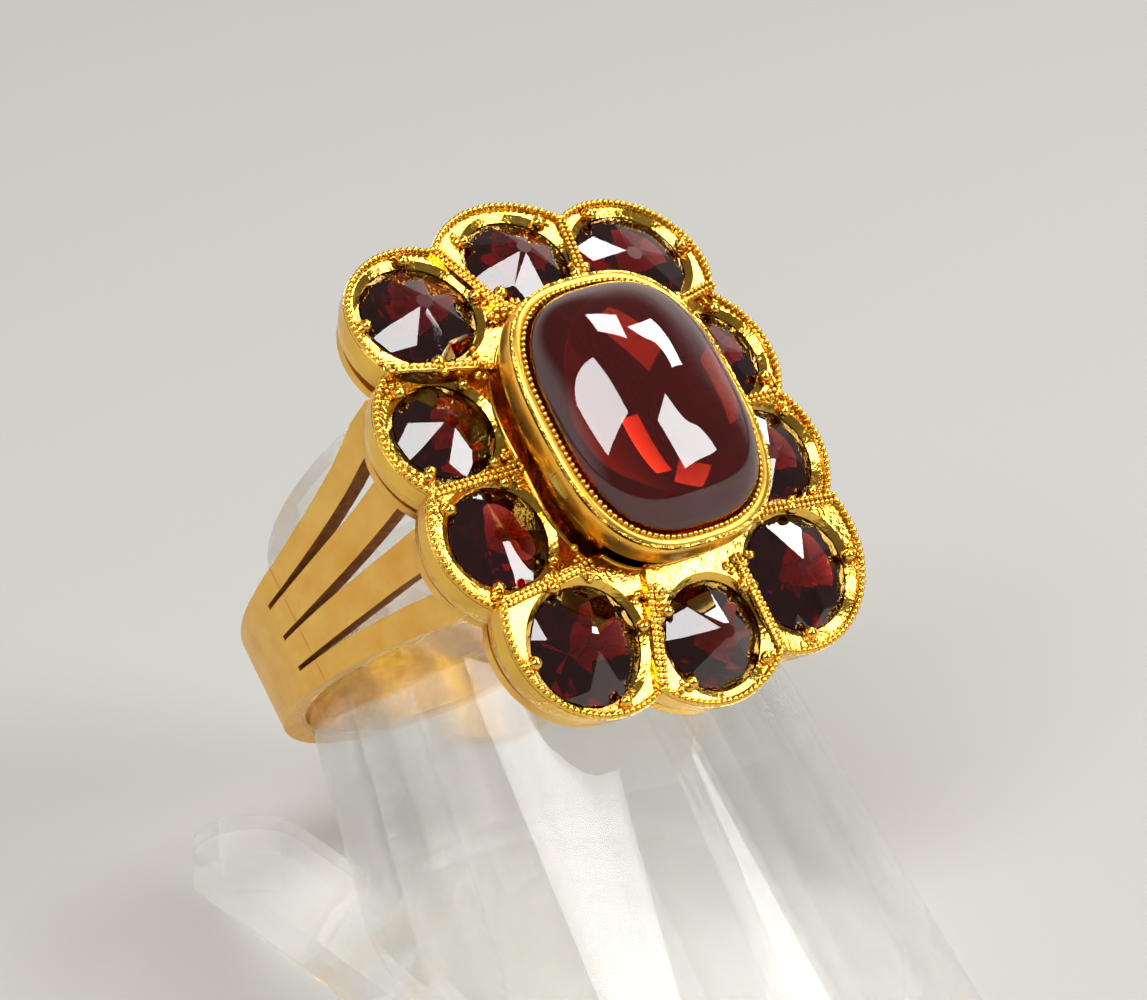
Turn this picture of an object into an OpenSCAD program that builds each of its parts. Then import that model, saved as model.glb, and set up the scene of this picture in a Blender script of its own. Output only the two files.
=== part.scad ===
// Cluster ring with a raised cushion cabochon and ten cut stones round it,
// shown on a clear ring stand. Millimetres, +Z up, z = 0 is the table.
// The ring has its own frame: X across the finger, Y along it, Z out of the
// head, with z = 0 at the girdles of the cut stones. ring_place() seats it.

/* [Shank] */
// Inside diameter of the finger hole
bore_d = 18; // [17.5:0.1:18.2]
// Depth of the finger hole's centre below the cut stones
bore_drop = 12.15; // [12.1:0.05:12.6]
// Thickness of the shank, measured outward
shank_t = 0.95; // [0.8:0.05:1.1]
// Width of the shank behind the finger
shank_w = 4; // [3.4:0.1:4.2]
// Offset of the shank from the middle of the head, along the finger
shank_shift = 0.2; // [0:0.05:0.3]

/* [Shoulders] */
// Width of the fan of tines where it meets the head
fan_w = 9.4; // [9:0.1:9.6]
// Width of one tine at the head
tine_top_w = 1.28; // [1:0.02:1.4]
// Width of a slot at its lower end
slot_low_w = 0.2; // [0.16:0.02:0.3]
// Height of the slots' lower ends above the finger hole's centre
slot_rise = 0.5; // [0.2:0.1:0.8]
// Distance of the tines' upper ends from the middle of the head
tine_top_x = 8; // [7.9:0.05:8.1]

/* [Head] */
// Radius of the cut stones at the corners
corner_r = 2.32; // [2.26:0.02:2.36]
// Radius of the cut stones at the two ends
end_r = 2.13; // [2.06:0.02:2.18]
// Radius of the cut stones along the sides
side_r = 2.04; // [1.98:0.02:2.08]
// Reach of a corner lobe beyond its cell's centre
corner_rim = 2.98; // [2.94:0.02:3.02]
// Reach of an end lobe beyond its cell's centre
end_rim = 2.74; // [2.7:0.02:2.78]
// Reach of a side lobe beyond its cell's centre
side_rim = 2.92; // [2.88:0.02:2.96]
// Radius of a corner lobe's arc
corner_arc = 3.9; // [3.8:0.05:4]
// Radius of an end lobe's arc
end_arc = 4.1; // [4:0.05:4.2]
// Radius of a side lobe's arc
side_arc = 3.6; // [3.5:0.05:3.7]
// Height of the scalloped rim below the cut stones
rim_h = 1.05; // [1:0.05:1.15]
// Height of the rim's top above the cut stones
rim_rise = 0.2; // [0.16:0.02:0.24]
// Width of the bevel that falls from the rim's top to a stone
bevel_w = 0.32; // [0.28:0.02:0.34]
// Depth of the base plate's underside below the cut stones
base_drop = 2.15; // [2.1:0.05:2.3]
// Outward lean of the corner stones along the finger, in degrees
corner_lean = 12.5; // [10:0.5:13]

/* [Centre stone] */
// Half width of the collet over its band
collet_a = 4.65; // [4.6:0.05:4.7]
// Half length of the collet over its band
collet_b = 5.9; // [5.85:0.05:5.95]
// Height of the collet's top above the cut stones
collet_top = 3.1; // [3:0.05:3.2]
// Height of the cabochon's dome above the collet
dome_h = 2.5; // [2:0.1:2.8]

/* [Stand] */
// Height of the finger hole's centre above the table
bore_h = 13.1; // [12.9:0.1:13.6]
// Tilt of the ring's finger hole, in degrees
ring_tilt = 42.6; // [42:0.2:43]
// Radius of the tongue where the ring sits
tongue_r = 8.6; // [8.4:0.02:8.62]
// Wall of the tongue
tongue_wall = 1.8; // [1.6:0.1:2]
// Distance from the middle of the foot back to the finger hole's centre
bore_back = 11.7; // [11:0.1:12.5]
// Thickness of the foot
foot_t = 1.8; // [1.6:0.1:2.2]
// Distance of the foot's side leg from the middle, to its outer edge
leg_out = 11; // [10.8:0.1:11.4]
// Width of the side leg
leg_w = 4.8; // [4.4:0.1:5.2]
// Reach of the side leg behind the finger hole's centre
leg_back = 7.5; // [7:0.1:8]

/* [Hidden] */

GOLD = "#d9a733";
GARNET = "#5c0a14";
CLEAR = "#e4ebea";

bore_r = bore_d / 2;
outer_r = bore_r + shank_t;
eps = 0.01;

// The ten cells of the head, numbered round it from the +X +Y corner. Some of
// the hand set stones sit a little off the middle of their cell.
// Columns: x, y, stone radius, reach of the lobe, direction of the lobe in
// degrees, radius of its arc, offset of the stone in x and in y
CX = 5.13;
CY = 7.2;
SX = 6.5;
SY = 2.34;
EY = 8.5;
CELLS = [[CX, CY, corner_r, corner_rim, 52, corner_arc - 0.4, 0, 0],
         [0, EY, end_r, end_rim, 90, end_arc, 0.15, -0.2],
         [-CX, CY, corner_r, corner_rim, 128, corner_arc - 0.4, 0, 0],
         [-SX, SY, side_r, side_rim, 172, side_arc, 0, 0],
         [-SX, -SY, side_r, side_rim, 188, side_arc, 0, 0],
         [-CX, -CY, corner_r, corner_rim, 232, corner_arc, -0.05, -0.2],
         [0, -EY, end_r, end_rim, 270, end_arc, 0.22, -0.05],
         [CX, -CY, corner_r, corner_rim, 308, corner_arc, 0, 0],
         [SX, -SY, side_r, side_rim - 0.18, 352, side_arc, 0, 0],
         [SX, SY, side_r, side_rim - 0.18, 8, side_arc, 0, 0]];
CELL_COUNT = len(CELLS);
side_lean = 2;
// The +Y half of the head is bent down a little less than the other half
rear_share = 0.84;
function lean_of(c) = corner_lean * c[1] / CY * (c[1] > 0 ? rear_share : 1);

// Clearance between a stone and the gold round it
stone_gap = 0.04;
prong_r = 0.27;
divider_t = 0.44;
divider_rise = 0.06;
trench_a = 4.28;
trench_b = 5.53;
trench_floor = -0.6;
neck_a = 3.95;
neck_b = 5.2;
light_a = 3.1;
light_b = 4.35;
plate_t = 0.4;
cup_drop = base_drop - plate_t;
plate_inset = 0.5;

function stone_at(c) = [c[0] + c[6], c[1] + c[7]];
function lobe_at(c) = [c[0], c[1]] - (c[5] - c[3]) * [cos(c[4]), sin(c[4])];

// Outer meeting point of the arcs of two neighbouring lobes
function notch(c, d) =
    let (p = lobe_at(c), v = lobe_at(d) - p, gap = norm(v), u = v / gap,
         a = (pow(c[5], 2) - pow(d[5], 2) + gap * gap) / (2 * gap))
        p + a * u + sqrt(pow(c[5], 2) - a * a) * [u[1], -u[0]];

// Point of equal clearance between two neighbouring stones
function between(c, d) =
    let (v = stone_at(d) - stone_at(c), gap = norm(v))
        stone_at(c) + v * (c[2] + (gap - c[2] - d[2]) / 2) / gap;
function outward(c, d) =
    let (v = notch(c, d) - between(c, d)) v / norm(v);

// Outline of the centre stone and its collet: a squared oval
OVAL_POWER = 2.75;
OVAL_STEPS = 72;
function signed_power(v, p) = sign(v) * pow(abs(v), p);
function oval(a, b) =
    [for (i = [0:OVAL_STEPS - 1])
        let (t = 360 * (i + 0.5) / OVAL_STEPS)
        [a * signed_power(cos(t), 2 / OVAL_POWER),
         b * signed_power(sin(t), 2 / OVAL_POWER)]];

// Point on a cubic curve through four control points
function curve(p, t) =
    pow(1 - t, 3) * p[0] + 3 * pow(1 - t, 2) * t * p[1]
    + 3 * (1 - t) * pow(t, 2) * p[2] + pow(t, 3) * p[3];

// Half width of the shank and of the fan of tines. Columns: height below the
// cut stones, half width there
FAN = [[-bore_drop - bore_r - 2, shank_w / 2], [-bore_drop - 4.5, shank_w / 2],
       [-bore_drop, 2.35], [-9.6, 2.7], [-7, 3.2], [-4.5, 3.78],
       [-2.4, 0.95 * fan_w / 2], [0, fan_w / 2]];
function fan_half(z) = lookup(z, FAN);

module ring_place() {
    translate([0, bore_back, bore_h])
        rotate([ring_tilt, 0, 0])
            translate([0, 0, bore_drop])
                children();
}

// The stones

table_r = 0.15;
crown_mid_r = 0.76;
girdle_h = 0.04;
pavilion_mid_r = 0.62;
pavilion_h = 0.72;

// A hand cut round stone of unit radius with a small table, kite facets that
// rise at the given slope, and girdle facets. The kites are flat: their side
// corners lie on the line from the table's edge to the girdle.
function spoke(r, a, z) = [r * cos(a), r * sin(a), z];
module cut_gem(r, slope) {
    drop = cos(22.5);
    crown_h = (1 - table_r) * tan(slope);
    crown_mid_z = crown_h * (1 - (crown_mid_r * drop - table_r) / (1 - table_r));
    pavilion_mid_z = -girdle_h - pavilion_h * (1 - pavilion_mid_r * drop);
    points = concat(
        [for (i = [0:7]) spoke(table_r, 45 * i, crown_h)],
        [for (i = [0:7]) spoke(crown_mid_r, 45 * i + 22.5, crown_mid_z)],
        [for (i = [0:15]) spoke(1, 22.5 * i, 0)],
        [for (i = [0:15]) spoke(1, 22.5 * i, -girdle_h)],
        [for (i = [0:7]) spoke(pavilion_mid_r, 45 * i + 22.5, pavilion_mid_z)],
        [[0, 0, -girdle_h - pavilion_h]]);
    T = 0;
    M = 8;
    G = 16;
    L = 32;
    N = 48;
    C = 56;
    faces = concat(
        [[for (i = [7:-1:0]) T + i]],
        [for (i = [0:7]) [T + i, T + (i + 1) % 8, M + i]],
        [for (i = [0:7]) [T + i, M + i, G + 2 * i, M + (i + 7) % 8]],
        [for (i = [0:7]) [M + i, G + 2 * i + 1, G + 2 * i]],
        [for (i = [0:7]) [M + i, G + (2 * i + 2) % 16, G + 2 * i + 1]],
        [for (i = [0:15]) [G + i, G + (i + 1) % 16, L + (i + 1) % 16, L + i]],
        [for (i = [0:7]) [N + i, L + 2 * i, L + 2 * i + 1]],
        [for (i = [0:7]) [N + i, L + 2 * i + 1, L + (2 * i + 2) % 16]],
        [for (i = [0:7]) [C, N + (i + 7) % 8, L + 2 * i, N + i]]);
    scale(r) polyhedron(points = points, faces = faces);
}

module cell_place(i) {
    c = CELLS[i];
    translate([c[0], c[1], 0])
        rotate([-lean_of(c), side_lean * sign(c[0]), 0])
            children();
}

module stone_place(i) {
    cell_place(i) translate([CELLS[i][6], CELLS[i][7], 0]) children();
}

// Turn of each cut stone in its seat and slope of its kites, in degrees
GEM_TURNS = [12.5, 27.5, 32.5, 42.5, 17.5, 0, 12.5, 40, 42.5, 10];
GEM_SLOPES = [15, 28, 25.5, 27, 13.5, 22, 30, 19.5, 17, 20];
module garnet(number) {
    color(GARNET) ring_place()
        stone_place(number - 1)
            rotate(GEM_TURNS[number - 1])
                cut_gem(CELLS[number - 1][2], GEM_SLOPES[number - 1]);
}

seat_z = 2.2;
dome_a = collet_a - 0.55 - stone_gap;
dome_b = collet_b - 0.55 - stone_gap;
DOME_RINGS = 12;
module centre_garnet() {
    edge_z = collet_top - 0.15;
    top_z = collet_top + dome_h;
    points = concat(
        [for (p = oval(dome_a, dome_b)) [p[0], p[1], seat_z + stone_gap]],
        [for (k = [0:DOME_RINGS - 1])
            let (u = 90 * k / DOME_RINGS, s = cos(u), z = edge_z + (top_z - edge_z) * sin(u))
            for (p = oval(dome_a * s, dome_b * s)) [p[0], p[1], z]],
        [[0, 0, top_z]]);
    n = OVAL_STEPS;
    last = n * (DOME_RINGS + 1);
    faces = concat(
        [[for (i = [0:n - 1]) i]],
        [for (k = [0:DOME_RINGS - 1], i = [0:n - 1])
            [k * n + i, (k + 1) * n + i, (k + 1) * n + (i + 1) % n, k * n + (i + 1) % n]],
        [for (i = [0:n - 1]) [last - n + i, last, last - n + (i + 1) % n]]);
    color(GARNET) ring_place() polyhedron(points = points, faces = faces);
}

// The gold

// Lower half of the hoop. Its upper ends run out on a slant inside the tines.
module hoop() {
    translate([0, 0, -bore_drop]) rotate([90, 0, 0])
        difference() {
            cylinder(r = outer_r, h = fan_w, center = true, $fn = 128);
            cylinder(r = bore_r, h = fan_w + 1, center = true, $fn = 128);
            translate([0, 0, -fan_w]) linear_extrude(2 * fan_w)
                polygon([[-8.8, 0.3], [8.8, 0.3], [10.4, 2.5], [10.4, 12], [-10.4, 12], [-10.4, 2.5]]);
        }
}

// Side view of one shoulder, as a bar of given thickness along a curve
SHOULDER_STEPS = 14;
module curved_bar(path, t_low, t_top, w) {
    side = function(u, s) curve(path, u) + [s * (t_low + (t_top - t_low) * u) / 2, 0];
    translate([0, w / 2, 0]) rotate([90, 0, 0])
        linear_extrude(w)
            polygon(concat(
                [for (i = [0:SHOULDER_STEPS]) side(i / SHOULDER_STEPS, 1)],
                [for (i = [SHOULDER_STEPS:-1:0]) side(i / SHOULDER_STEPS, -1)]));
}

// Plate with an outline in the YZ plane, running from X = 0 to the given depth
module side_cutter(points, depth) {
    rotate([90, 0, 90]) linear_extrude(depth) polygon(points);
}

function fan_edge(inset) = [for (row = FAN) [row[1] - inset, row[0]]];
function mirrored(points) =
    concat(points, [for (i = [len(points) - 1:-1:0]) [-points[i][0], points[i][1]]]);
module fan_outline(depth) {
    side_cutter(mirrored(fan_edge(0)), depth);
}

// The three slots between the tines, each a long sliver that opens upward
slot_low = -bore_drop + slot_rise;
module slots() {
    top_pitch = (fan_w - tine_top_w) / 3;
    gap_at = function(z) let (u = (z - slot_low) / -slot_low)
        slot_low_w + (top_pitch - tine_top_w - slot_low_w) * pow(u, 1.7);
    mid_at = function(z) top_pitch * fan_half(z) / (fan_w / 2);
    STEPS = 8;
    heights = [for (i = [0:STEPS]) slot_low * (1 - i / STEPS)];
    for (k = [-1:1])
        side_cutter(concat(
            [for (z = heights) [k * mid_at(z) + gap_at(z) / 2, z]],
            [for (i = [STEPS:-1:0]) [k * mid_at(heights[i]) - gap_at(heights[i]) / 2, heights[i]]]),
            2 * outer_r + 4);
}

// Shank that widens on each side into four tines, which fan out and rise to
// the rim, and under the outer two a thin rail up to the base plate
shoulder_sink = 0.3;
mid_x = bore_r + shank_t / 2;
sink_z = -bore_drop - shoulder_sink;
module shank() {
    tine_path = [[mid_x, sink_z], [mid_x, -9.2], [8.3, -5.6], [tine_top_x, -0.9]];
    difference() {
        intersection() {
            union() {
                hoop();
                for (s = [0, 1])
                    mirror([s, 0, 0]) curved_bar(tine_path, shank_t - 0.02, 0.75, fan_w + 1);
            }
            translate([-outer_r - 1, 0, 0]) fan_outline(2 * outer_r + 2);
        }
        translate([-outer_r - 2, 0, 0]) slots();
    }
}

module rail() {
    path = [[bore_r + 0.3, sink_z], [bore_r + 0.3, -9.4], [8.1, -6], [7.3, -cup_drop - 0.1]];
    intersection() {
        curved_bar(path, 0.5, 0.4, fan_w + 1);
        difference() {
            fan_outline(outer_r + 1);
            side_cutter(mirrored(fan_edge(0.62)), outer_r + 2);
        }
    }
}

module oval_prism(a, b, z0, z1) {
    translate([0, 0, z0]) linear_extrude(z1 - z0) polygon(oval(a, b));
}

// Cylinders under each lobe, upright, drawn in from its edge
module lobes(shrink, z0, z1) {
    for (c = CELLS)
        translate([lobe_at(c)[0], lobe_at(c)[1], z0]) cylinder(r = c[5] - shrink, h = z1 - z0, $fn = 64);
}

module deck(z0, z1) {
    translate([0, 0, z0])
        linear_extrude(z1 - z0)
            polygon([for (c = CELLS) [c[0], c[1]]]);
}

// Part of the head that belongs to one cell, bounded by its two dividers
SECTOR_IN = 2.9;
SECTOR_OUT = 4;
SECTOR_LAP = 0.1;
module sector(i) {
    b = CELLS[(i + CELL_COUNT - 1) % CELL_COUNT];
    c = CELLS[i];
    d = CELLS[(i + 1) % CELL_COUNT];
    u = outward(b, c);
    v = outward(c, d);
    low = between(b, c) + SECTOR_LAP * [u[1], -u[0]];
    high = between(c, d) - SECTOR_LAP * [v[1], -v[0]];
    tip = [c[0], c[1]] + 1.5 * SECTOR_OUT * [cos(c[4]), sin(c[4])];
    translate([0, 0, -3]) linear_extrude(6)
        polygon([low - SECTOR_IN * u, low + SECTOR_OUT * u, tip, high + SECTOR_OUT * v, high - SECTOR_IN * v]);
}

// Turned outline of a lobe: its upright edge, the taper below and the cup,
// which is drawn in under the rim
RIM_TAPER = 0.5;
CUP_LOW = -1.6;
function lobe_outline(r) =
    [[0, CUP_LOW], [r - 0.7, CUP_LOW], [r - 0.32, -rim_h], [r - 0.1, -rim_h],
     [r, RIM_TAPER - rim_h], [r, rim_rise], [0, rim_rise]];

// One cell: a lobe of the rim and the cup under it, leaned with the stone, and
// the bevel that falls in to the stone
module tile(i) {
    c = CELLS[i];
    back = c[5] - c[3];
    difference() {
        intersection() {
            cell_place(i) rotate(c[4]) translate([-back, 0, 0])
                rotate_extrude($fn = 96) polygon(lobe_outline(c[5]));
            sector(i);
        }
        stone_place(i)
            translate([0, 0, -0.05])
                cylinder(r1 = c[2] - 0.05, r2 = c[2] + bevel_w * 1.2, h = rim_rise * 1.2 + 0.05, $fn = 96);
    }
}

// Clearance for one stone: upright walls round it, a ledge that follows its
// pavilion, and a round light hole down through the base plate
ledge_w = 0.7;
module recess(i) {
    r = CELLS[i][2];
    low = r - ledge_w;
    seat = r + 1.4 * stone_gap;
    ledge_h = (seat - low) * pavilion_h;
    ledge_top = -girdle_h * r - 1.3 * stone_gap;
    stone_place(i) {
        translate([0, 0, ledge_top - 2 * eps]) cylinder(r = r + stone_gap, h = 2, $fn = 96);
        translate([0, 0, ledge_top - ledge_h]) cylinder(r1 = low, r2 = seat, h = ledge_h, $fn = 96);
        translate([0, 0, -4.5]) cylinder(r = low, h = 4.5 + ledge_top - ledge_h + eps, $fn = 96);
    }
}

// Wall between two cells, from the trench to the notch of the rim. It stands
// on the cell that is raised more by its lean.
module divider(i) {
    c = CELLS[i];
    d = CELLS[(i + 1) % CELL_COUNT];
    k = abs(c[1]) > abs(d[1]) ? i : (i + 1) % CELL_COUNT;
    middle = between(c, d) - [CELLS[k][0], CELLS[k][1]];
    u = outward(c, d);
    reach = norm(notch(c, d) - between(c, d)) - 0.06;
    cell_place(k)
        translate([middle[0], middle[1], -rim_h])
            rotate(atan2(u[1], u[0]))
                translate([-2, -divider_t / 2, 0])
                    cube([2 + reach, divider_t, rim_h + rim_rise + divider_rise]);
}

// Rim, dividers, cups and base plate, pierced under every stone, with a trench
// round the collet
module head() {
    difference() {
        union() {
            for (i = [0:CELL_COUNT - 1]) tile(i);
            for (i = [0:CELL_COUNT - 1]) divider(i);
            lobes(0.8, -cup_drop - eps, -0.9);
            deck(-cup_drop - eps, -0.3);
            lobes(plate_inset, -base_drop, -cup_drop);
            deck(-base_drop, -cup_drop);
        }
        for (i = [0:CELL_COUNT - 1]) recess(i);
        oval_prism(trench_a, trench_b, trench_floor, 2);
    }
}

module prongs() {
    for (i = [0:CELL_COUNT - 1], turn = [52, 128, -128, -52]) {
        c = CELLS[i];
        out = c[2] + stone_gap + prong_r + 0.02;
        stone_place(i)
            rotate(c[4] + turn)
                translate([out, 0, -0.5]) {
                    cylinder(r = prong_r, h = 0.66, $fn = 20);
                    translate([0, 0, 0.66]) sphere(r = prong_r, $fn = 20);
                }
    }
}

module collet() {
    oval_prism(collet_a, collet_b, collet_top - 1.15, collet_top);
    oval_prism(neck_a, neck_b, trench_floor - 0.1, collet_top - 1.1);
    oval_prism(3.6, 4.85, -base_drop + eps, 0);
}

module gold_mount() {
    color(GOLD) ring_place() {
        translate([0, shank_shift, 0]) {
            shank();
            for (s = [0, 1]) mirror([s, 0, 0]) rail();
        }
        prongs();
        difference() {
            union() {
                head();
                collet();
            }
            oval_prism(collet_a - 0.55, collet_b - 0.55, seat_z, collet_top + 1);
            oval_prism(light_a, light_b, -base_drop - 1, seat_z + 1);
        }
    }
}

// The stand

// The tongue leans further than the ring, so its top line runs along the head
tongue_lean = 7;
tongue_taper = 0.127;
tongue_up = 0.35;
TONGUE_LONG = 48;
TONGUE_TIP = 14;
// The far end is cut on a slant, so the top of the tongue reaches furthest
tip_reach = 5.1;
tip_slope = 18;
leg_front = -6;

// Conical tongue frame: its axis along Z, the ring at z = 0, up to the tip
module tongue_place() {
    translate([0, bore_back, bore_h])
        rotate([ring_tilt, 0, 0])
            translate([0, 0, tongue_up])
                rotate([tongue_lean - 90, 0, 0])
                    children();
}

module tongue_cone(inset) {
    translate([0, 0, -TONGUE_LONG])
        cylinder(r1 = tongue_r + tongue_taper * TONGUE_LONG - inset,
                 r2 = tongue_r - tongue_taper * TONGUE_TIP - inset,
                 h = TONGUE_LONG + TONGUE_TIP, $fn = 128);
}

// Everything above the given height
module above(z) {
    translate([-50, -50, z]) cube(100);
}

// Flat leg on the -X side, with a round end behind the ring
module leg() {
    r = leg_w / 2;
    end_y = bore_back + leg_back - r;
    translate([-leg_out, leg_front, 0]) cube([leg_w, end_y - leg_front, foot_t]);
    translate([r - leg_out, end_y, 0]) cylinder(r = r, h = foot_t, $fn = 64);
}

module ring_stand() {
    color(CLEAR, 0.35) {
        difference() {
            intersection() {
                tongue_place() tongue_cone(0);
                above(0);
            }
            intersection() {
                tongue_place() tongue_cone(tongue_wall);
                above(foot_t);
            }
            tongue_place()
                translate([0, 0, tip_reach]) rotate([-tip_slope, 0, 0]) above(0);
        }
        leg();
    }
}

gold_mount();
centre_garnet();
garnet(1);  // garnet_01
garnet(2);  // garnet_02
garnet(3);  // garnet_03
garnet(4);  // garnet_04
garnet(5);  // garnet_05
garnet(6);  // garnet_06
garnet(7);  // garnet_07
garnet(8);  // garnet_08
garnet(9);  // garnet_09
garnet(10);  // garnet_10
ring_stand();
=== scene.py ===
import math

import bmesh
import bpy
import numpy as np
from mathutils import Matrix, Vector


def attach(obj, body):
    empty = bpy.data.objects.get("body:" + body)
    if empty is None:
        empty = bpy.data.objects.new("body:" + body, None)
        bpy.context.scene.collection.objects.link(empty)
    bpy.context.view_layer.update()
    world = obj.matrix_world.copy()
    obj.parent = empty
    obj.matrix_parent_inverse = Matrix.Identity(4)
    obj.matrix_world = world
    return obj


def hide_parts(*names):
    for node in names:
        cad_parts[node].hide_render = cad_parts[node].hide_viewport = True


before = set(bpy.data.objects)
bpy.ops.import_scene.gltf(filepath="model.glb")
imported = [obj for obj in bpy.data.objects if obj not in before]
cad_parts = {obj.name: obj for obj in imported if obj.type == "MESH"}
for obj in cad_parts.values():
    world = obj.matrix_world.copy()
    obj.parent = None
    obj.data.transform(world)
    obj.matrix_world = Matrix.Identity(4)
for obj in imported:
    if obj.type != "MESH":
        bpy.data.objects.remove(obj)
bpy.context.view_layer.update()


# The gold mount: shank, fanned shoulders and pierced head, soldered into one piece
# of yellow gold. The head is polished bright, the shoulders and the shank keep the
# fine satin of a worn hand finish, and the finger keeps the inside of the hoop bright.

MM = 0.001
RING_TILT = math.radians(42.6)
BORE_R = 9.0
BORE_DROP = 12.15
BORE_CENTRE = Vector((0.0, 11.7, 13.1))
SHANK_SHIFT = 0.2
# The fan of tines: its half width at the bore's centre and under the head, and its top
FAN_LOW, FAN_HIGH, FAN_TOP = 1.95, 3.9, -2.4
# Heights between which the satin comes in. Under the head's ends it starts lower by the
# drop, which shrinks by the slope for each mm out to the sides.
SATIN_EDGE, SATIN_FULL = -1.12, -1.3
SATIN_DROP, SATIN_SLOPE = 1.95, 0.3
# How strongly the slots' walls are browned, partly film and partly painted shade, and how dark the painted
# shade in the other hollows gets
SLOT_FILM_AND_SHADE, HOLLOW_SHADE = 0.92, 0.7
# The hollow inside the collet, where the gold is darkened with painted shade: half width, half length,
# bottom, top, and the stone's ledge, where it opens out
HOLLOW_A, HOLLOW_B = 3.35, 4.75
HOLLOW_LOW, HOLLOW_TOP = -2.1, 2.9
LEDGE_LOW, LEDGE_TOP, LEDGE_OPEN = 2.05, 2.15, 1.2


def ring_matrix():
    """From the ring's own frame in mm (girdles of the cut stones at z = 0) to the scene in metres."""
    return (Matrix.Scale(MM, 4) @ Matrix.Translation(BORE_CENTRE)
            @ Matrix.Rotation(RING_TILT, 4, "X") @ Matrix.Translation((0, 0, BORE_DROP)))


RING = ring_matrix()


def linear(hex_colour):
    """An sRGB hex colour as linear RGBA."""
    channels = [int(hex_colour[i:i + 2], 16) / 255 for i in (1, 3, 5)]
    return [c / 12.92 if c <= 0.04045 else ((c + 0.055) / 1.055) ** 2.4 for c in channels] + [1.0]


def add(tree, kind, inputs=None, **settings):
    """One shader node with its settings. inputs holds values, or the sockets to link."""
    made = tree.nodes.new(kind)
    for name, value in settings.items():
        setattr(made, name, value)
    for name, value in (inputs or {}).items():
        if isinstance(value, bpy.types.NodeSocket):
            tree.links.new(value, made.inputs[name])
        else:
            made.inputs[name].default_value = value
    return made


def material(name):
    """An empty material with its output node."""
    made = bpy.data.materials.new(name)
    made.use_nodes = True
    made.node_tree.nodes.clear()
    return made, made.node_tree, made.node_tree.nodes.new("ShaderNodeOutputMaterial")


def ring_space(tree):
    """The surface point in the ring's own frame, in mm."""
    back = RING.inverted()
    place = add(tree, "ShaderNodeTexCoord")
    return add(tree, "ShaderNodeMapping", {
        "Vector": place.outputs["Object"], "Location": back.translation,
        "Rotation": (-RING_TILT, 0, 0), "Scale": (1 / MM,) * 3}).outputs["Vector"]


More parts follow.
